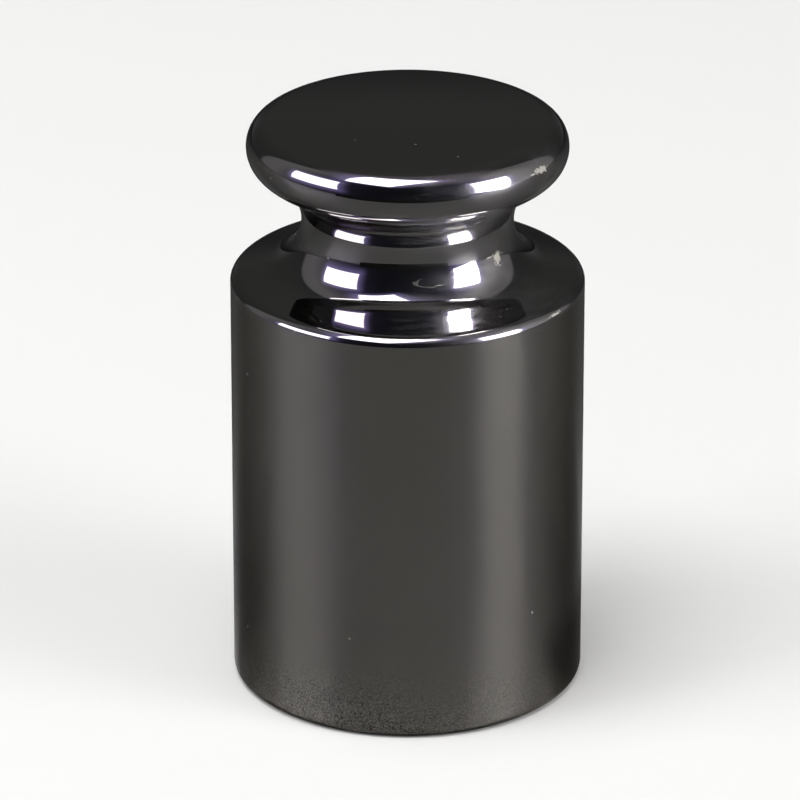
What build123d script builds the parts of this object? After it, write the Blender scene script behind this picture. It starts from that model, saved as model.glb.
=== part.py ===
"""A 500 g laboratory calibration weight, turned and polished from one bar of stainless steel.

Units are millimetres. +Z is up and the origin is the centre of the base, on the turning axis.

The weight is the classic cylinder with a lifting knob: a straight body with a flat shoulder, a waisted
neck for a lifting fork or two fingers, and a low mushroom knob. It is one solid of revolution, so its
whole form lies in one half section, made of lines and arcs that run tangent into each other. The body
height isn't chosen: it is the height that brings the steel to its nominal mass.
"""

import os
from math import atan2, degrees, pi, sin, sqrt, tan

from build123d import *

# What the weight weighs
nominal_mass = 500.0  # grams
steel_density = 0.00785  # grams per cubic millimetre

# Body
body_diameter = 38.0
base_edge_radius = 1.0  # between the base and the wall
shoulder_edge_radius = 1.5  # between the wall and the flat shoulder

# Neck: one round groove, tangent to the shoulder below it and to the knob above it
neck_diameter = 22.6
groove_radius = 5.65

# Knob: a rim that is fuller below than above, and a top that domes a little
knob_diameter = 34.4
knob_lower_radius = 3.3
knob_upper_radius = 2.6
crown_height = 0.6  # how far the middle of the top stands above the rim's upper round

# Worked out from the above
body_radius = body_diameter / 2
neck_radius = neck_diameter / 2
knob_radius = knob_diameter / 2
trial_body_height = body_diameter


def half_section(body_height: float) -> Sketch:
    """Draw the face that is turned about Z: half of the weight's section, from the axis out."""
    wall_top_z = body_height - shoulder_edge_radius
    shoulder_r = body_radius - shoulder_edge_radius

    # The groove stands on the shoulder, and the rim's lower round rests tangent against the groove.
    groove_r = neck_radius + groove_radius
    groove_z = body_height + groove_radius
    lower_r = knob_radius - knob_lower_radius
    centre_distance = groove_radius + knob_lower_radius
    rim_z = groove_z + sqrt(centre_distance**2 - (groove_r - lower_r) ** 2)
    contact_angle = degrees(atan2(rim_z - groove_z, lower_r - groove_r))

    # The crown is a cap of a large sphere that runs tangent into the rim's upper round.
    upper_r = knob_radius - knob_upper_radius
    cap_angle = 2 * atan2(crown_height, upper_r)
    crown_radius = upper_r / sin(cap_angle) + knob_upper_radius
    crown_z = rim_z - upper_r / tan(cap_angle)
    top_z = crown_z + crown_radius

    with BuildSketch(Plane.XZ) as section:
        with BuildLine():
            Line((0, 0), (body_radius - base_edge_radius, 0))
            CenterArc((body_radius - base_edge_radius, base_edge_radius), base_edge_radius, -90, 90)
            Line((body_radius, base_edge_radius), (body_radius, wall_top_z))
            CenterArc((shoulder_r, wall_top_z), shoulder_edge_radius, 0, 90)
            Line((shoulder_r, body_height), (groove_r, body_height))
            CenterArc((groove_r, groove_z), groove_radius, contact_angle, 270 - contact_angle)
            CenterArc((lower_r, rim_z), knob_lower_radius, contact_angle - 180, 180 - contact_angle)
            CenterArc((upper_r, rim_z), knob_upper_radius, 0, 90 - degrees(cap_angle))
            CenterArc((0, crown_z), crown_radius, 90 - degrees(cap_angle), degrees(cap_angle))
            Line((0, top_z), (0, 0))
        make_face()
    return section.sketch


# A trial turning shows how much steel is missing, and the body takes all of it.
with BuildPart() as trial:
    add(half_section(trial_body_height))
    revolve(axis=Axis.Z)

missing_volume = nominal_mass / steel_density - trial.part.volume
body_height = trial_body_height + missing_volume / (pi * body_radius**2)

with BuildPart() as weight:
    add(half_section(body_height))
    revolve(axis=Axis.Z)

weight.part.label = "weight"

os.makedirs("parts", exist_ok=True)
export_step(weight.part, "parts/weight.step")
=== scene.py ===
"""The looks of a turned and polished 500 g calibration weight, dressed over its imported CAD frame.

Everything is in metres, in the frame of the CAD part: +Z up, origin at the centre of the base.
"""

import logging
import math
from dataclasses import dataclass
from enum import Enum
from typing import Any, Union

import bmesh
import bpy
from mathutils import Matrix, Vector


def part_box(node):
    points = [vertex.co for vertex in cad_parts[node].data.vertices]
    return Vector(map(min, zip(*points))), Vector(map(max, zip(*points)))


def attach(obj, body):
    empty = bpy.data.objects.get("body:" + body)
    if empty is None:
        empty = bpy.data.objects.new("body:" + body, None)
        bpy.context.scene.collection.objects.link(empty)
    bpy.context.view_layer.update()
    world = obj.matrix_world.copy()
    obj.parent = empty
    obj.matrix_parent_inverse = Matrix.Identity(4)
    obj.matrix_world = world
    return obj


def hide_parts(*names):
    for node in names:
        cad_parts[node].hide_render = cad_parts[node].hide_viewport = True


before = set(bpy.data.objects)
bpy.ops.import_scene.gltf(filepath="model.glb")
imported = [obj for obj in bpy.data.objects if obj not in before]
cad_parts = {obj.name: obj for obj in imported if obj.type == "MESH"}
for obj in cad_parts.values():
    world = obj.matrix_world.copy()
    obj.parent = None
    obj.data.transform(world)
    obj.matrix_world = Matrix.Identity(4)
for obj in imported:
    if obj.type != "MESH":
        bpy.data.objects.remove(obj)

LOG = logging.getLogger("calibration_weight")
MM = 0.001
Number = Union[float, int]
Colour = tuple[float, float, float]


# ------------------------------------------------------------------------------------------------
# Shader graph
# ------------------------------------------------------------------------------------------------


class Maths(Enum):
    """The Math node operations that the finishes use."""

    ADD = "ADD"
    SUBTRACT = "SUBTRACT"
    MULTIPLY = "MULTIPLY"
    DIVIDE = "DIVIDE"
    POWER = "POWER"
    MAXIMUM = "MAXIMUM"
    ABSOLUTE = "ABSOLUTE"
    SQRT = "SQRT"
    ARCTAN2 = "ARCTAN2"


class Value:
    """One number that a shader works out, so that shader maths reads as Python expressions."""

    def __init__(self, graph: "Graph", socket: bpy.types.NodeSocket) -> None:
        """Wrap a socket.

        Args:
            graph: The graph that the socket belongs to.
            socket: An output socket that carries a number.
        """
        self.graph = graph
        self.socket = socket

    def __add__(self, other: "Value | Number") -> "Value":
        """Return this plus the other."""
        return self.graph.maths(Maths.ADD, self, other)

    __radd__ = __add__

    def __mul__(self, other: "Value | Number") -> "Value":
        """Return this times the other."""
        return self.graph.maths(Maths.MULTIPLY, self, other)

    def __sub__(self, other: "Value | Number") -> "Value":
        """Return this minus the other."""
        return self.graph.maths(Maths.SUBTRACT, self, other)

    def __rsub__(self, other: "Value | Number") -> "Value":
        """Return the other minus this."""
        return self.graph.maths(Maths.SUBTRACT, other, self)

    def __neg__(self) -> "Value":
        """Return this with its sign turned."""
        return self * -1.0

    def __truediv__(self, other: "Value | Number") -> "Value":
        """Return this divided by the other."""
        return self.graph.maths(Maths.DIVIDE, self, other)

    def __rpow__(self, other: "Value | Number") -> "Value":
        """Return the other raised to this."""
        return self.graph.maths(Maths.POWER, other, self)

    def most(self, other: "Value | Number") -> "Value":
        """Return the larger of the two."""
        return self.graph.maths(Maths.MAXIMUM, self, other)

    def size(self) -> "Value":
        """Return this without its sign."""
        return self.graph.maths(Maths.ABSOLUTE, self)

    def root(self) -> "Value":
        """Return the square root of this."""
        return self.graph.maths(Maths.SQRT, self)


class Graph:
    """The node tree of one material, world or lamp."""

    def __init__(self, tree: bpy.types.NodeTree) -> None:
        """Take over a node tree and empty it.

        Args:
            tree: The tree to fill.
        """
        self.tree = tree
        tree.nodes.clear()

    def node(self, kind: str, settings: dict[str, Any], sockets: dict[Any, Any]) -> bpy.types.Node:
        """Add one node.

        Args:
            kind: The node's type name, such as ShaderNodeTexNoise.
            settings: The node's own properties, set before its sockets.
            sockets: Input sockets by name or place, each with a value, a Value or an output socket.

        Returns:
            The new node.
        """
        made = self.tree.nodes.new(kind)
        for name, setting in settings.items():
            setattr(made, name, setting)
        for key, given in sockets.items():
            given = given.socket if isinstance(given, Value) else given
            if isinstance(given, bpy.types.NodeSocket):
                self.tree.links.new(given, made.inputs[key])
            else:
                made.inputs[key].default_value = given
        return made

    def maths(self, operation: Maths, *terms: "Value | Number") -> Value:
        """Add one Math node.

        Args:
            operation: What it does.
            *terms: Its one or two numbers.

        Returns:
            Its result.
        """
        sockets = dict(enumerate(terms))
        made = self.node("ShaderNodeMath", {"operation": operation.value}, sockets)
        return Value(self, made.outputs[0])

    def step(self, value: Value, low: float, high: float) -> Value:
        """Return a smooth step that is 0 below low and 1 above high.

        Args:
            value: What is stepped.
            low: Where the step starts.
            high: Where it ends; it may be under low, which turns the step round.

        Returns:
            The step, from 0 to 1.
        """
        settings = {"interpolation_type": "SMOOTHSTEP"}
        sockets = {"Value": value, "From Min": low, "From Max": high}
        return Value(self, self.node("ShaderNodeMapRange", settings, sockets).outputs[0])

    def place(self) -> bpy.types.NodeSocket:
        """Return the point on the object, in metres."""
        return self.node("ShaderNodeTexCoord", {}, {}).outputs["Object"]

    def parts_of(self, vector: bpy.types.NodeSocket) -> tuple[Value, Value, Value]:
        """Return a vector's x, y and z."""
        split = self.node("ShaderNodeSeparateXYZ", {}, {0: vector})
        return tuple(Value(self, out) for out in split.outputs)

    def noise(
        self, scale: float, detail: float, where: bpy.types.NodeSocket | None = None
    ) -> Value:
        """Return a cloud pattern around 0.5.

        Args:
            scale: Features in one metre.
            detail: How many finer layers it has.
            where: The place it reads, if not the point on the object.

        Returns:
            The pattern.
        """
        sockets = {"Vector": where or self.place(), "Scale": scale, "Detail": detail}
        return Value(self, self.node("ShaderNodeTexNoise", {}, sockets).outputs[0])

    def turning(self, across: float) -> bpy.types.NodeSocket:
        """Return a place that runs out along the turning lines of a lathe.

        Args:
            across: How much denser a pattern is across the lines than along them.

        Returns:
            The place's socket.
        """
        x, y, z = self.parts_of(self.place())
        outward = (x * x + y * y).root()
        place = {0: x, 1: y, 2: (outward + z) * across}
        return self.node("ShaderNodeCombineXYZ", {}, place).outputs[0]

    def specks(self, spacing: float, share: float, radius: float) -> Value:
        """Return small round specks, scattered over the surface.

        Args:
            spacing: How far apart the places are where a speck may lie.
            share: How many of those places have one, from 0 to 1.
            radius: The specks' largest radius.

        Returns:
            1 in a speck, 0 outside.
        """
        smallest, soft_from, sharp = 0.3, 0.6, 0.001
        sockets = {"Vector": self.place(), "Scale": 1.0 / spacing}
        cells = self.node("ShaderNodeTexVoronoi", {}, sockets)
        chance, size, _ = self.parts_of(cells.outputs["Color"])
        reach = (size * (1.0 - smallest) + smallest) * (radius / spacing)
        inside = self.step(Value(self, cells.outputs["Distance"]) / reach, 1.0, soft_from)
        return inside * self.step(chance, share, share - sharp)

    def reach(self, centre: Vector, radii: Vector, rag: float, fineness: float) -> Value:
        """Return how far a point lies from the centre of an ellipsoid, against its surface.

        Args:
            centre: The ellipsoid's centre.
            radii: Its radii.
            rag: How ragged its surface is.
            fineness: Features of the raggedness in one metre.

        Returns:
            0 at the centre and 1 on the ellipsoid.
        """
        parts = self.parts_of(self.place())
        scaled = [(part - middle) / radius for part, middle, radius in zip(parts, centre, radii)]
        reach = (scaled[0] * scaled[0] + scaled[1] * scaled[1] + scaled[2] * scaled[2]).root()
        return reach + (self.noise(fineness, 2.0) - 0.5) * rag

    def blend(self, amount: Value, first: Any, second: Any) -> bpy.types.NodeSocket:
        """Return a colour between two.

        Args:
            amount: 0 for the first colour, 1 for the second.
            first: A colour or a colour socket.
            second: A colour or a colour socket.

        Returns:
            The mixed colour's socket.
        """
        mixed = self.node("ShaderNodeMix", {"data_type": "RGBA"}, {0: amount, 6: first, 7: second})
        return mixed.outputs[2]

    def highest(self, masks: list[Value]) -> Value:
        """Return the highest of several masks.

        Args:
            masks: The masks, at least one.

        Returns:
            At each place, the mask that is highest there.
        """
        found = masks[0]
        for mask in masks[1:]:
            found = found.most(mask)
        return found

    def bump(self, height: Value, depth: float) -> bpy.types.NodeSocket:
        """Return a normal that a pattern bends.

        Args:
            height: The pattern.
            depth: How far the surface seems to rise where the pattern is 1.

        Returns:
            The normal's socket.
        """
        sockets = {"Strength": 1.0, "Distance": depth, "Height": height}
        return self.node("ShaderNodeBump", {}, sockets).outputs[0]

    def mixed(
        self, share: Any, first: bpy.types.NodeSocket, second: bpy.types.NodeSocket
    ) -> bpy.types.NodeSocket:
        """Return a shader between two.

        Args:
            share: 0 for the first shader, 1 for the second.
            first: A shader's socket.
            second: A shader's socket.

        Returns:
            The mixed shader's socket.
        """
        return self.node("ShaderNodeMixShader", {}, {0: share, 1: first, 2: second}).outputs[0]

    def added(
        self, first: bpy.types.NodeSocket, second: bpy.types.NodeSocket
    ) -> bpy.types.NodeSocket:
        """Return the sum of two shaders."""
        return self.node("ShaderNodeAddShader", {}, {0: first, 1: second}).outputs[0]

    def matt(self, colour: Colour) -> bpy.types.NodeSocket:
        """Return a matt shader of one colour."""
        return self.node("ShaderNodeBsdfDiffuse", {}, {"Color": (*colour, 1.0)}).outputs[0]

    def surface(self, shader: bpy.types.NodeSocket) -> None:
        """Make a shader the material's surface."""
        self.node("ShaderNodeOutputMaterial", {}, {"Surface": shader})


def new_material(name: str) -> tuple[bpy.types.Material, Graph]:
    """Make a material.

    Args:
        name: Its name.

    Returns:
        The new material and its empty graph.
    """
    made = bpy.data.materials.new(name)
    made.use_nodes = True
    return made, Graph(made.node_tree)


# ------------------------------------------------------------------------------------------------
# Finishes
# ------------------------------------------------------------------------------------------------


@dataclass(frozen=True)
class Steel:
    """What both finishes of the steel share: a dark, nearly neutral mirror, dusty specks, matt
    deposits and painted reflection patches.
    """

    colour: Colour = (0.0430, 0.0420, 0.0405)
    rim: Colour = (0.50, 0.50, 0.50)
    # Colour of the dusty specks, and also of the painted reflection patches on the mirror polish.
    dust_and_reflection_colour: Colour = (0.16, 0.155, 0.125)
    dust_roughness: float = 0.9
    dust_spacing: float = 2.3 * MM
    dust_share: float = 0.07
    dust_radius: float = 0.08 * MM
    dust_cover: float = 0.6

    def shader(
        self, graph: Graph, shade: Value, roughness: Value, matt_marks: Value, sockets: dict[str, Any]
    ) -> None:
        """Finish a material of this steel.

        Args:
            graph: The material's graph.
            shade: How light the steel is against its own colour.
            roughness: The bare steel's roughness.
            matt_marks: Where something matt lies on the steel.
            sockets: The shader's other sockets.
        """
        dusty = graph.specks(self.dust_spacing, self.dust_share, self.dust_radius)
        dull = matt_marks.most(dusty * self.dust_cover)
        steel = graph.blend(shade * 0.5, (0.0, 0.0, 0.0, 1.0), self.doubled())
        shader = graph.node(
            "ShaderNodeBsdfPrincipled",
            {},
            {
                "Base Color": graph.blend(dull, steel, (*self.dust_and_reflection_colour, 1.0)),
                "Metallic": 1.0 - dull,
                "Roughness": roughness.most(dull * self.dust_roughness),
                "Specular Tint": (*self.rim, 1.0),
                **sockets,
            },
        )
        graph.surface(shader.outputs[0])

    def doubled(self) -> tuple[float, float, float, float]:
        """Return twice the steel's colour, the upper end of its shades."""
        red, green, blue = self.colour
        return (red * 2, green * 2, blue * 2, 1.0)


@dataclass(frozen=True)
class MattPatch:
    """A small matt patch with a ragged edge, used both for deposits and for painted reflections."""

    centre: tuple[float, float, float]
    radii: tuple[float, float, float]
    rag: float = 2.6
    fineness: float = 3300.0
    edge: tuple[float, float] = (1.05, 0.80)

    def mask(self, graph: Graph) -> Value:
        """Return 1 in the deposit and 0 outside."""
        centre, radii = Vector(self.centre) * MM, Vector(self.radii) * MM
        return graph.step(graph.reach(centre, radii, self.rag, self.fineness), *self.edge)


@dataclass(frozen=True)
class Loop:
    """A faint looped scratch, where the surface cuts a thin ragged shell."""

    centre: tuple[float, float, float]
    radii: tuple[float, float, float]
    width: float
    rag: float = 1.3
    fineness: float = 700.0
    core: float = 0.3

    def mask(self, graph: Graph) -> Value:
        """Return where the scratch lies.

        Args:
            graph: The material's graph.

        Returns:
            1 on the scratch and 0 beside it.
        """
        centre, radii = Vector(self.centre) * MM, Vector(self.radii) * MM
        off = (graph.reach(centre, radii, self.rag, self.fineness) - 1.0).size()
        return graph.step(off, self.width, self.width * self.core)


@dataclass(frozen=True)
class MirrorPolish:
    """The buffed finish of the shoulder, neck and knob, with marks of use and painted reflections
    on its handled side.
    """

    steel: Steel = Steel()
    roughness: float = 0.035
    cloudiness: float = 0.02
    film_roughness: float = 0.04
    haze: float = 0.24
    haze_roughness: float = 0.34
    haze_ior: float = 1.5
    scratch: float = 0.36
    patch_cover: float = 0.50
    waviness: float = 0.010 * MM
    shading: float = 0.06
    held_x: float = 0.54
    held_y: float = -0.84
    held_below: float = 63.9 * MM
    deposits_and_reflections: tuple[MattPatch, ...] = (
        # Painted reflections: the first five patches, on the knob and in the groove at the front
        # right, stand in for reflections of something yellowish in the room; the others are
        # deposits and scuffs.
        MattPatch((14.0, -9.7, 62.05), (1.05, 1.05, 0.34)),
        MattPatch((13.2, -10.8, 62.00), (0.55, 0.50, 0.08)),
        MattPatch((9.5, -6.8, 50.90), (0.56, 0.66, 0.72)),
        MattPatch((10.2, -6.0, 51.00), (0.22, 0.22, 0.20)),
        MattPatch((8.7, -7.7, 51.25), (0.55, 0.55, 0.07)),
        MattPatch((15.6, -10.6, 46.00), (0.90, 1.40, 0.14)),
        MattPatch((-5.5, -6.2, 64.07), (0.11, 0.11, 0.10)),
        MattPatch((0.8, -7.6, 64.08), (0.13, 0.13, 0.10)),
        MattPatch((5.3, -10.6, 63.90), (0.10, 0.10, 0.10)),
        MattPatch((-14.4, -9.4, 60.95), (0.12, 0.12, 0.12)),
        MattPatch((-8.4, -7.9, 51.25), (0.10, 0.10, 0.10)),
        MattPatch((6.0, -11.0, 49.60), (0.10, 0.10, 0.10)),
    )
    loops: tuple[Loop, ...] = (
        Loop((2.3, -11.9, 50.05), (1.8, 2.4, 0.46), 0.11),
        Loop((4.4, -11.3, 50.60), (1.3, 1.6, 0.30), 0.08),
        Loop((-0.5, -11.3, 52.60), (0.5, 1.2, 0.70), 0.06),
        Loop((2.0, -16.7, 61.90), (1.2, 1.2, 0.30), 0.07),
    )

    def handled(self, graph: Graph) -> Value:
        """Return how worn the polish is.

        Args:
            graph: The material's graph.

        Returns:
            1 at the front right, where the weight is held, and 0 far from it.
        """
        x, y, z = graph.parts_of(graph.place())
        outward = (x * x + y * y).root().most(1.0 * MM)
        facing = (x * self.held_x + y * self.held_y) / outward
        below = graph.step(z, self.held_below, self.held_below - 0.7 * MM)
        return graph.step(facing, 0.70, 0.97) * below

    def material(self) -> bpy.types.Material:
        """Mix the buffed steel with its film, scratches, deposits and painted reflections.

        Returns:
            The material.
        """
        made, graph = new_material("mirror_polished_steel")
        streaks = graph.noise(300.0, 3.0, graph.turning(7.0))
        film = self.handled(graph) * (graph.step(streaks, 0.36, 0.66) * 0.8 + 0.2)
        scratched = graph.highest([loop.mask(graph) for loop in self.loops])
        scratched = scratched * graph.step(graph.noise(700.0, 1.0), 0.36, 0.58)
        # Painted reflection in part: some of these matt patches are painted reflections, the others
        # are deposits.
        matt_marks = graph.highest([patch.mask(graph) for patch in self.deposits_and_reflections])
        marked = (matt_marks * self.patch_cover).most(scratched * self.scratch)
        cloud = graph.step(graph.noise(90.0, 3.0), 0.5, 0.8)
        roughness = cloud * self.cloudiness + film * self.film_roughness + self.roughness
        shade = (graph.noise(45.0, 2.0) - 0.5) * self.shading + 1.0
        sockets = {
            "Normal": graph.bump(graph.noise(70.0, 1.0), self.waviness),
            "Coat Weight": film * self.haze,
            "Coat Roughness": self.haze_roughness,
            "Coat IOR": self.haze_ior,
        }
        self.steel.shader(graph, shade, roughness, marked, sockets)
        return made


@dataclass(frozen=True)
class FineTurned:
    """The finish of the wall: turning lines so fine that they only draw the light out."""

    steel: Steel = Steel(colour=(0.0446, 0.0434, 0.0392), rim=(0.43, 0.43, 0.43))
    roughness: float = 0.24
    stretch: float = 0.45
    quarter_turn: float = 0.25
    unevenness: float = 0.05
    shading: float = 0.16
    lines: float = 0.0012 * MM
    # Painted reflection: near the base, spotting in the colour stands in for the speckled cloth
    # that the wall reflects.
    cloth_reflection_from: float = 14.0 * MM
    cloth_reflection_full: float = 3.0 * MM
    fine_cloth_reflection: float = 4.0
    coarse_cloth_reflection: float = 0.6
    fleck: float = 0.45
    patch_cover: float = 0.8
    specks: tuple[MattPatch, ...] = (
        MattPatch((-17.0, -8.4, 38.1), (0.12, 0.12, 0.12)),
        MattPatch((-17.0, -8.5, 33.5), (0.11, 0.11, 0.11)),
        MattPatch((-17.6, -7.3, 32.2), (0.10, 0.10, 0.10)),
        MattPatch((-6.2, -18.0, 11.5), (0.13, 0.13, 0.13)),
        MattPatch((13.4, -13.5, 12.4), (0.14, 0.14, 0.14)),
        MattPatch((-17.3, -7.8, 8.0), (0.12, 0.12, 0.12)),
    )

    def material(self) -> bpy.types.Material:
        """Mix the fine turned steel, with a painted reflection of the speckled cloth near the base.

        Returns:
            The material.
        """
        made, graph = new_material("fine_turned_steel")
        _, _, z = graph.parts_of(graph.place())
        height = z + graph.noise(160.0, 2.0) * (8.0 * MM)
        low = graph.step(height, self.cloth_reflection_from, self.cloth_reflection_full)
        # Painted reflection of the cloth near the base: fine and coarse spotting in the colour.
        fine, coarse = graph.noise(5200.0, 1.0) - 0.5, graph.noise(900.0, 2.0) - 0.5
        painted_cloth_reflection = (fine * self.fine_cloth_reflection + coarse * self.coarse_cloth_reflection) * low
        flecks = graph.specks(1.9 * MM, 0.16, 0.12 * MM) * graph.step(z, 26.0 * MM, 8.0 * MM)
        soft = (graph.noise(85.0, 3.0) - 0.5) * self.shading
        shade = 1.0 + soft + painted_cloth_reflection - flecks * self.fleck
        roughness = (graph.noise(60.0, 4.0) - 0.5) * self.unevenness + self.roughness
        rings = graph.noise(500.0, 2.0, graph.turning(12.0))
        sockets = {
            "Anisotropic": self.stretch,
            "Anisotropic Rotation": self.quarter_turn,
            "Normal": graph.bump(rings, self.lines),
        }
        matt_marks = graph.highest([speck.mask(graph) for speck in self.specks])
        self.steel.shader(graph, shade, roughness, matt_marks * self.patch_cover, sockets)
        return made


# ------------------------------------------------------------------------------------------------
# The weight
# ------------------------------------------------------------------------------------------------


class Zone(Enum):
    """Where each finish lies: the number is the material's place on the mesh."""

    MIRROR = 0
    TURNED = 1


class Section:
    """A half section drawn with bmesh operators, from the foot of the axis round to its top."""

    def __init__(self, r: float, z: float) -> None:
        """Start the section at one point.

        Args:
            r: Distance from the axis.
            z: Height.
        """
        self.mesh = bmesh.new()
        self.tip = self.mesh.verts.new((r, 0.0, z))

    def line(self, r: float, z: float, steps: int = 1) -> None:
        """Draw a straight stretch to a point.

        Args:
            r: Distance of its end from the axis.
            z: Height of its end.
            steps: Into how many pieces it is divided.
        """
        stride = (Vector((r, 0.0, z)) - self.tip.co) / steps
        for _ in range(steps):
            grown = bmesh.ops.extrude_vert_indiv(self.mesh, verts=[self.tip])
            self.tip = grown["verts"][0]
            bmesh.ops.translate(self.mesh, verts=[self.tip], vec=stride)

    def turn(self, r: float, z: float, angle: float, steps: int, flatten: float = 1.0) -> None:
        """Draw an arc about a centre.

        Args:
            r: Distance of the centre from the axis.
            z: Height of the centre.
            angle: How far it turns, anticlockwise in the section.
            steps: Into how many pieces it is divided.
            flatten: The arc's height against its width, which starts it from its widest point.
        """
        drawn = len(self.mesh.verts)
        spun = bmesh.ops.spin(
            self.mesh,
            geom=[self.tip],
            cent=(r, 0.0, z),
            axis=(0.0, -1.0, 0.0),
            angle=angle,
            steps=steps,
            use_merge=False,
        )
        self.tip = next(item for item in spun["geom_last"] if isinstance(item, bmesh.types.BMVert))
        if flatten != 1.0:
            self.mesh.verts.ensure_lookup_table()
            bmesh.ops.scale(
                self.mesh,
                verts=self.mesh.verts[drawn:],
                vec=(1.0, 1.0, flatten),
                space=Matrix.Translation((-r, 0.0, -z)),
            )


@dataclass
class TurnedWeight:
    """The weight's one solid, turned again as a finer mesh than the frame's.

    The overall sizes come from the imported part, and the rounds follow the part's own. Buffing has
    drawn the shoulder's edge and the knob's upper round out a little from true circles.
    """

    low: Vector
    high: Vector
    finishes: dict["Zone", bpy.types.Material]
    base_edge: float = 1.0 * MM
    shoulder_edge_width: float = 2.1 * MM
    shoulder_edge_height: float = 1.2 * MM
    shoulder_slope: float = math.radians(14.8)
    neck_radius: float = 11.35 * MM
    groove: float = 5.65 * MM
    groove_foot: float = 5.4 * MM
    groove_foot_start: float = math.radians(35.0)
    knob_radius: float = 17.2 * MM
    knob_lower: float = 3.22 * MM
    knob_upper: float = 2.69 * MM
    knob_upper_width: float = 2.4 * MM
    rim_below_top: float = 3.2 * MM
    support: float = 0.08 * MM
    around: int = 288

    def __post_init__(self) -> None:
        """Work out where the rounds of the groove and the knob meet."""
        self.lower_r = self.knob_radius - self.knob_lower
        self.groove_r = self.neck_radius + self.groove
        rise = math.sqrt((self.groove + self.knob_lower) ** 2 - (self.groove_r - self.lower_r) ** 2)
        self.contact = math.atan2(rise, self.lower_r - self.groove_r)
        self.rim_z = self.high.z - self.rim_below_top
        self.groove_z = self.rim_z - rise
        self.place_shoulder()

    def place_shoulder(self) -> None:
        """Work out the shoulder, from the foot of the groove down to the top of the wall.

        The groove's foot turns tighter than the groove itself, until it runs into the shoulder's
        gentle slope. The slope ends where the flattened round of the shoulder's edge starts.
        """
        start, end = self.groove_foot_start, math.pi / 2 - self.shoulder_slope
        self.foot_r = self.groove_r - (self.groove - self.groove_foot) * math.cos(start)
        self.foot_z = self.groove_z - (self.groove - self.groove_foot) * math.sin(start)
        slope_r = self.foot_r - self.groove_foot * math.cos(end)
        slope_z = self.foot_z - self.groove_foot * math.sin(end)
        width, height = self.shoulder_edge_width, self.shoulder_edge_height
        self.edge_turn = math.atan2(math.sin(end) * height, math.cos(end) * width)
        edge_r = self.high.x - width * (1.0 - math.cos(self.edge_turn))
        edge_z = slope_z - (edge_r - slope_r) * math.tan(self.shoulder_slope)
        self.slope_top = (slope_r, slope_z)
        self.wall_top = edge_z - height * math.sin(self.edge_turn)

    def crown_slope(self) -> float:
        """Return the slope at which the knob's upper round runs into its domed top.

        Returns:
            The angle at which the two meet smoothly and the dome reaches the part's full height.
        """
        flat, steep = 0.0, 0.4
        while steep - flat > 1e-9:
            slope = (flat + steep) / 2
            turned = self.upper_turn(slope)
            r = self.knob_radius - self.knob_upper_width * (1.0 - math.cos(turned))
            z = self.rim_z + self.knob_upper * math.sin(turned)
            if z + r * math.tan(slope / 2) < self.high.z:
                flat = slope
            else:
                steep = slope
        return slope

    def upper_turn(self, slope: float) -> float:
        """Return how far round the knob's upper round has come where its slope is as given."""
        return math.atan2(self.knob_upper, self.knob_upper_width * math.tan(slope))

    def section(self) -> Section:
        """Draw the half section, from the centre of the base to the top of the crown.

        Returns:
            The section, ready to be spun.
        """
        radius = self.high.x
        foot_r = radius - self.base_edge
        foot_z = self.low.z + self.base_edge
        quarter = math.pi / 2
        slope = self.crown_slope()

        drawn = Section(0.0, self.low.z)
        drawn.line(foot_r - self.support, self.low.z, 8)
        drawn.line(foot_r, self.low.z)
        drawn.turn(foot_r, foot_z, quarter, 12)
        drawn.line(radius, foot_z + self.support)
        drawn.line(radius, self.wall_top - self.support, 24)
        drawn.line(radius, self.wall_top)
        drawn.turn(
            radius - self.shoulder_edge_width,
            self.wall_top,
            self.edge_turn,
            28,
            self.shoulder_edge_height / self.shoulder_edge_width,
        )
        drawn.line(*self.slope_top, 4)
        foot_end = quarter - self.shoulder_slope
        drawn.turn(self.foot_r, self.foot_z, self.groove_foot_start - foot_end, 30)
        drawn.turn(
            self.groove_r, self.groove_z, self.contact - math.pi - self.groove_foot_start, 50
        )
        drawn.turn(self.lower_r, self.rim_z, math.pi - self.contact, 30)
        drawn.turn(
            self.knob_radius - self.knob_upper_width,
            self.rim_z,
            self.upper_turn(slope),
            28,
            self.knob_upper / self.knob_upper_width,
        )
        dome = drawn.tip.co.x / math.sin(slope)
        drawn.turn(0.0, self.high.z - dome, slope, 20)
        return drawn

    def build(self) -> bpy.types.Object:
        """Turn the section about the axis and dress it.

        Returns:
            The finished weight.
        """
        mesh = self.section().mesh
        bmesh.ops.spin(
            mesh,
            geom=mesh.verts[:] + mesh.edges[:],
            cent=(0.0, 0.0, 0.0),
            axis=(0.0, 0.0, 1.0),
            angle=math.tau,
            steps=self.around,
            use_merge=True,
        )
        bmesh.ops.remove_doubles(mesh, verts=mesh.verts[:], dist=0.001 * MM)
        bmesh.ops.recalc_face_normals(mesh, faces=mesh.faces[:])
        for face in mesh.faces:
            face.smooth = True
            turned = face.calc_center_median().z < self.wall_top
            face.material_index = (Zone.TURNED if turned else Zone.MIRROR).value
        data = bpy.data.meshes.new("turned_weight")
        mesh.to_mesh(data)
        mesh.free()
        for zone in Zone:
            data.materials.append(self.finishes[zone])
        piece = bpy.data.objects.new("turned_weight", data)
        bpy.context.scene.collection.objects.link(piece)
        return piece


# ------------------------------------------------------------------------------------------------
# The studio
# ------------------------------------------------------------------------------------------------


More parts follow.
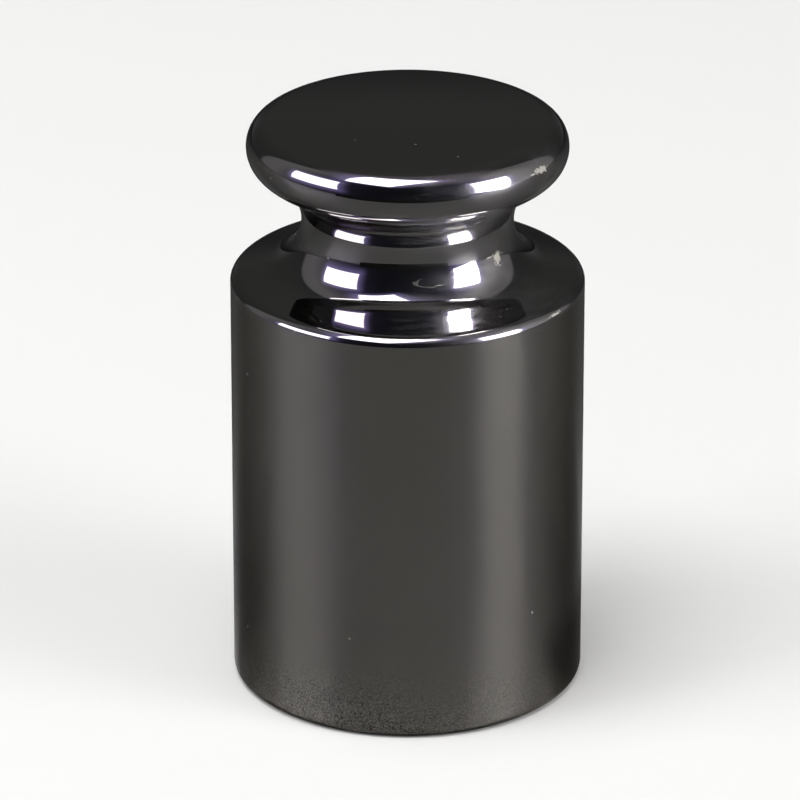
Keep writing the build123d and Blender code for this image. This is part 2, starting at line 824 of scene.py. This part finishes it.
@dataclass(frozen=True)
class Camera:
    """A long lens at a fixed height, aimed at the middle of the weight."""

    elevation: float = math.radians(23.89)
    distance: float = 719.4 * MM
    aim_height: float = 31.37 * MM
    aim_side: float = -0.81 * MM
    lens: float = 299.7
    sensor: float = 36.0

    def build(self) -> None:
        """Make the camera and look through it."""
        data = bpy.data.cameras.new("camera")
        data.lens = self.lens
        data.sensor_width = self.sensor
        placed = bpy.data.objects.new("camera", data)
        back = self.distance * math.cos(self.elevation)
        height = self.aim_height + self.distance * math.sin(self.elevation)
        placed.location = (self.aim_side, -back, height)
        placed.rotation_euler = (math.pi / 2 - self.elevation, 0.0, 0.0)
        bpy.context.scene.collection.objects.link(placed)
        bpy.context.scene.camera = placed


@dataclass(frozen=True)
class Softbox:
    """A lamp and the bright window that a mirror shows in its place.

    Angles are in degrees: azimuth from the front towards the right, elevation from the floor.
    """

    name: str
    azimuth: float
    elevation: float
    facing_azimuth: float
    facing_elevation: float
    roll: float
    width: float
    height: float
    power: float
    glow: float
    slant: float
    distance: float = 1.3
    spill: float = 0.26
    spill_up: float = 0.42
    spill_glow: float = 4.2
    frame_blur: float = 0.03

    @staticmethod
    def towards(azimuth: float, elevation: float) -> Vector:
        """Return the direction that lies at an azimuth and an elevation."""
        turn, rise = math.radians(azimuth), math.radians(elevation)
        return Vector(
            (math.cos(rise) * math.sin(turn), -math.cos(rise) * math.cos(turn), math.sin(rise))
        )

    def placed(self, aim: Vector) -> Matrix:
        """Return where the softbox hangs.

        Args:
            aim: The point that its azimuth, elevation and distance start from.

        Returns:
            A frame whose -Z looks towards the weight.
        """
        away = self.towards(self.facing_azimuth, self.facing_elevation)
        spin = away.to_track_quat("Z", "Y").to_matrix().to_4x4()
        centre = aim + self.towards(self.azimuth, self.elevation) * self.distance
        return Matrix.Translation(centre) @ spin @ Matrix.Rotation(math.radians(self.roll), 4, "Z")


@dataclass
class Studio:
    """A pale floor in a dim room, lit softly from both sides and from above."""

    aim: Vector
    later_bounce_gain: float
    floor_colour: Colour = (0.94, 0.94, 0.93)
    floor_size: float = 6.0
    room_level: float = 0.22
    ceiling: Colour = (1.35, 1.25, 1.45)
    # Painted glow of the floor ahead of the weight, seen in later reflections.
    floor_painted_glow: float = 0.85
    floor_ior: float = 1.45
    sheen: float = 0.058
    sheen_roughness: float = 0.34
    shaded: float = 0.92
    card_away: float = 0.32
    card_side: float = -0.05
    card_width: float = 0.66
    card_height: float = 0.075
    card_shade: float = 0.10
    white: Colour = (1.0, 0.98, 1.0)
    violet: Colour = (0.52, 0.42, 1.0)
    boxes: tuple[Softbox, ...] = (
        Softbox(
            name="left",
            azimuth=-77.0,
            elevation=29.5,
            facing_azimuth=-50.3,
            facing_elevation=8.6,
            roll=4.2,
            width=0.82,
            height=0.68,
            power=6.4,
            glow=26.5,
            slant=-0.16,
        ),
        Softbox(
            name="right",
            azimuth=63.7,
            elevation=22.5,
            facing_azimuth=67.1,
            facing_elevation=8.9,
            roll=-23.3,
            width=0.61,
            height=0.91,
            power=8.0,
            glow=56.0,
            slant=-0.23,
        ),
        Softbox(
            name="above",
            azimuth=-45.8,
            elevation=75.1,
            facing_azimuth=0.0,
            facing_elevation=89.9,
            roll=51.8,
            width=0.84,
            height=0.66,
            power=10.5,
            glow=34.0,
            slant=0.08,
        ),
    )
    room_stops: tuple[tuple[float, Colour], ...] = (
        (-180.0, (0.62, 0.62, 0.62)),
        (-150.0, (0.50, 0.50, 0.50)),
        (-125.0, (0.42, 0.42, 0.43)),
        (-122.0, (1.70, 1.68, 1.72)),
        (-108.0, (1.75, 1.70, 1.82)),
        (-90.0, (1.05, 0.98, 1.30)),
        (-70.0, (0.60, 0.54, 0.95)),
        (-50.0, (0.22, 0.20, 0.36)),
        (-30.0, (0.11, 0.11, 0.17)),
        (0.0, (0.08, 0.09, 0.12)),
        (30.0, (0.16, 0.16, 0.24)),
        (50.0, (0.30, 0.28, 0.50)),
        (70.0, (1.40, 1.25, 1.90)),
        (86.0, (3.50, 3.40, 3.70)),
        (98.0, (3.10, 3.05, 3.10)),
        (110.0, (1.95, 1.90, 1.95)),
        (122.0, (1.80, 1.75, 1.80)),
        (125.0, (0.42, 0.42, 0.43)),
        (150.0, (0.50, 0.50, 0.50)),
        (180.0, (0.62, 0.62, 0.62)),
    )

    def depth_gain(self, graph: Graph) -> Value:
        """Return how much brighter a light shows after more than one bounce off the weight.

        Painted light: the steel's own colour is as dark in every bounce, so what it shows after the
        first is made brighter instead, as if each later bounce gave back most of its light.

        Args:
            graph: The graph that uses the gain.

        Returns:
            1 for a first reflection, and more for each one after it.
        """
        depth = Value(graph, graph.node("ShaderNodeLightPath", {}, {}).outputs["Glossy Depth"])
        return self.later_bounce_gain ** (depth - 1.0).most(0.0)

    @staticmethod
    def staged(
        name: str, mesh: bmesh.types.BMesh, material: bpy.types.Material
    ) -> bpy.types.Object:
        """Put a piece of the studio into the scene.

        Args:
            name: The piece's name.
            mesh: Its mesh, which is used up.
            material: Its material.

        Returns:
            The piece, kept out of the weight's own model.
        """
        data = bpy.data.meshes.new(name)
        mesh.to_mesh(data)
        mesh.free()
        data.materials.append(material)
        piece = bpy.data.objects.new(name, data)
        bpy.context.scene.collection.objects.link(piece)
        return piece

    @staticmethod
    def only_mirrored(piece: bpy.types.Object) -> None:
        """Let a piece of the studio show in mirrors only.

        Args:
            piece: The piece.
        """
        piece.visible_camera = False
        piece.visible_diffuse = False
        piece.visible_shadow = False

    def floor(self) -> None:
        """Lay the floor: matt for the eye; in a mirror, with a sheen, painted shade round the
        weight and a painted glow ahead of it.
        """
        material, graph = new_material("pale_floor")
        matt = graph.matt(self.floor_colour)
        dark = graph.matt((0.0, 0.0, 0.0))
        gloss = graph.node(
            "ShaderNodeBsdfAnisotropic",
            {},
            {"Color": (self.sheen,) * 3 + (1.0,), "Roughness": self.sheen_roughness},
        )
        slanting = graph.node("ShaderNodeFresnel", {}, {"IOR": self.floor_ior})
        gloss = graph.mixed(slanting.outputs[0], dark, gloss.outputs[0])
        _, y, _ = graph.parts_of(graph.place())
        # Painted light: ahead of the weight, the floor glows where a ray has bounced more than
        # once.
        ahead = graph.step(y, -0.05, -0.11)
        again = (self.depth_gain(graph) - 1.0) * self.floor_painted_glow * ahead
        glow = graph.node("ShaderNodeEmission", {}, {"Strength": again})
        lit = graph.added(graph.added(matt, gloss), glow.outputs[0])
        seen = graph.mixed(self.floor_shade(graph) * self.shaded, lit, dark)
        path = graph.node("ShaderNodeLightPath", {}, {})
        graph.surface(graph.mixed(path.outputs["Is Glossy Ray"], matt, seen))
        mesh = bmesh.new()
        bmesh.ops.create_grid(mesh, x_segments=1, y_segments=1, size=self.floor_size / 2)
        self.staged("floor", mesh, material)

    def floor_shade(self, graph: Graph) -> Value:
        """Return where the weight's own mirrors show the floor in shade.

        Args:
            graph: The floor's graph.

        Returns:
            1 behind the weight, less beside it and close to its foot, and 0 out on the floor.
        """
        x, y, _ = graph.parts_of(graph.place())
        away = (x * x + y * y).root().most(1.0 * MM)
        behind = graph.step(y / away, 0.60, 0.97)
        beside = graph.step(y, -12.0 * MM, 2.0 * MM) * graph.step(away, 90.0 * MM, 30.0 * MM)
        near = graph.step(away, 80.0 * MM, 20.0 * MM)
        foot = graph.step(x, 0.0, 14.0 * MM) * 0.45 + 0.5
        foot = foot * graph.step(away, 45.0 * MM, 27.0 * MM) * graph.step(y, -16.0 * MM, -4.0 * MM)
        return graph.highest([behind, beside * 0.6, near * 0.35, foot])

    def room(self) -> None:
        """Make the dim room: plain light for the floor, and its walls for the mirror to show."""
        world = bpy.data.worlds.new("room")
        world.use_nodes = True
        bpy.context.scene.world = world
        graph = Graph(world.node_tree)
        way = graph.node("ShaderNodeTexCoord", {}, {}).outputs["Generated"]
        x, y, z = graph.parts_of(way)
        turn = graph.maths(Maths.ARCTAN2, x, -y) / math.tau + 0.5
        ramp = graph.node("ShaderNodeValToRGB", {}, {0: turn})
        stops = ramp.color_ramp.elements
        while len(stops) < len(self.room_stops):
            stops.new(1.0)
        peak = max(max(colour) for _, colour in self.room_stops)
        for stop, (azimuth, colour) in zip(stops, self.room_stops):
            stop.position = azimuth / 360.0 + 0.5
            stop.color = (*(part / peak for part in colour), 1.0)
        high = graph.step(z, 0.80, 0.92)
        upper = tuple(part / peak for part in self.ceiling)
        walls = graph.blend(high, ramp.outputs[0], (*upper, 1.0))
        ahead = graph.step(y, -0.1, -0.5) * 0.92 + 0.08
        behind = graph.step(y, 0.93, 1.0)
        gain = ((self.depth_gain(graph) - 1.0) * ahead + 1.0) * (1.0 - behind * 0.8)
        seen = graph.node("ShaderNodeBackground", {}, {"Color": walls, "Strength": gain * peak})
        plain = graph.node(
            "ShaderNodeBackground", {}, {"Color": (1.0, 1.0, 1.0, 1.0), "Strength": self.room_level}
        )
        mirrored = graph.node("ShaderNodeLightPath", {}, {}).outputs["Is Glossy Ray"]
        mixed = graph.mixed(mirrored, plain.outputs[0], seen.outputs[0])
        graph.node("ShaderNodeOutputWorld", {}, {"Surface": mixed})

    def hang(self, box: Softbox) -> None:
        """Hang one softbox: a lamp for matt surfaces and a window for mirrors.

        Args:
            box: The softbox's place, size and strength.
        """
        placed = box.placed(self.aim)
        light = bpy.data.lights.new(box.name, "AREA")
        light.shape = "RECTANGLE"
        light.size = box.width
        light.size_y = box.height
        light.energy = box.power
        hung = bpy.data.objects.new(box.name, light)
        hung.matrix_world = placed
        hung.visible_glossy = False
        bpy.context.scene.collection.objects.link(hung)

        mesh = bmesh.new()
        bmesh.ops.create_grid(mesh, x_segments=1, y_segments=1, size=0.5)
        upward = box.height + 2 * box.spill_up
        across = box.width + 2 * box.spill + abs(box.slant) * upward
        bmesh.ops.scale(mesh, verts=mesh.verts[:], vec=(across, upward, 1.0))
        window = self.staged(box.name + "_window", mesh, self.window_glow(box))
        window.matrix_world = placed
        self.only_mirrored(window)

    def window_glow(self, box: Softbox) -> bpy.types.Material:
        """Return a window's glow: white inside its frame, with a violet spill round it.

        Args:
            box: The softbox whose window it is.

        Returns:
            The glowing material.
        """
        material, graph = new_material(box.name + "_glow")
        x, y, _ = graph.parts_of(graph.place())
        out_x = ((x - y * box.slant).size() - box.width / 2).most(0.0)
        out_y = (y.size() - box.height / 2).most(0.0)
        out = (out_x * out_x + out_y * out_y).root()
        far_x, far_y = out_x / box.spill, out_y / box.spill_up
        near = graph.step((far_x * far_x + far_y * far_y).root(), 1.0, 0.0)
        pane = graph.step(out, box.frame_blur, 0.0)
        colour = graph.blend(pane, (*self.violet, 1.0), (*self.white, 1.0))
        level = (pane * box.glow + near * near * box.spill_glow) * self.depth_gain(graph)
        glow = graph.node("ShaderNodeEmission", {}, {"Color": colour, "Strength": level})
        clear = graph.node("ShaderNodeBsdfTransparent", {}, {})
        graph.surface(graph.added(glow.outputs[0], clear.outputs[0]))
        return material

    def front_card(self) -> None:
        """Stand a dark card on the floor before the weight, which only mirrors show."""
        mesh = bmesh.new()
        bmesh.ops.create_grid(mesh, x_segments=1, y_segments=1, size=0.5)
        bmesh.ops.scale(mesh, verts=mesh.verts[:], vec=(self.card_width, self.card_height, 1.0))
        bmesh.ops.rotate(mesh, verts=mesh.verts[:], matrix=Matrix.Rotation(math.pi / 2, 3, "X"))
        place = (self.card_side, -self.card_away, self.card_height / 2)
        bmesh.ops.translate(mesh, verts=mesh.verts[:], vec=place)
        material, graph = new_material("dark_card")
        shade = self.depth_gain(graph) * self.card_shade
        glow = graph.node("ShaderNodeEmission", {}, {"Strength": shade})
        graph.surface(glow.outputs[0])
        self.only_mirrored(self.staged("front_card", mesh, material))

    def build(self) -> None:
        """Build the floor, the room and the lamps."""
        self.floor()
        self.front_card()
        self.room()
        for box in self.boxes:
            self.hang(box)


def main() -> None:
    """Build the weight and its studio, and report the weight's faces."""
    logging.basicConfig(level=logging.INFO, format="%(name)s: %(message)s")
    scene = bpy.context.scene
    scene.view_settings.view_transform = "Standard"
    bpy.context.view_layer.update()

    low, high = (Vector(corner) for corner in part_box("weight"))
    finishes = {Zone.MIRROR: MirrorPolish().material(), Zone.TURNED: FineTurned().material()}
    weight = TurnedWeight(low=low, high=high, finishes=finishes).build()
    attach(weight, "root")
    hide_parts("weight")
    LOG.info("turned weight: %d faces", len(weight.data.polygons))

    Studio(aim=Vector((0.0, 0.0, 0.052)), later_bounce_gain=24.0).build()
    Camera().build()


if __name__ == "__main__":
    main()
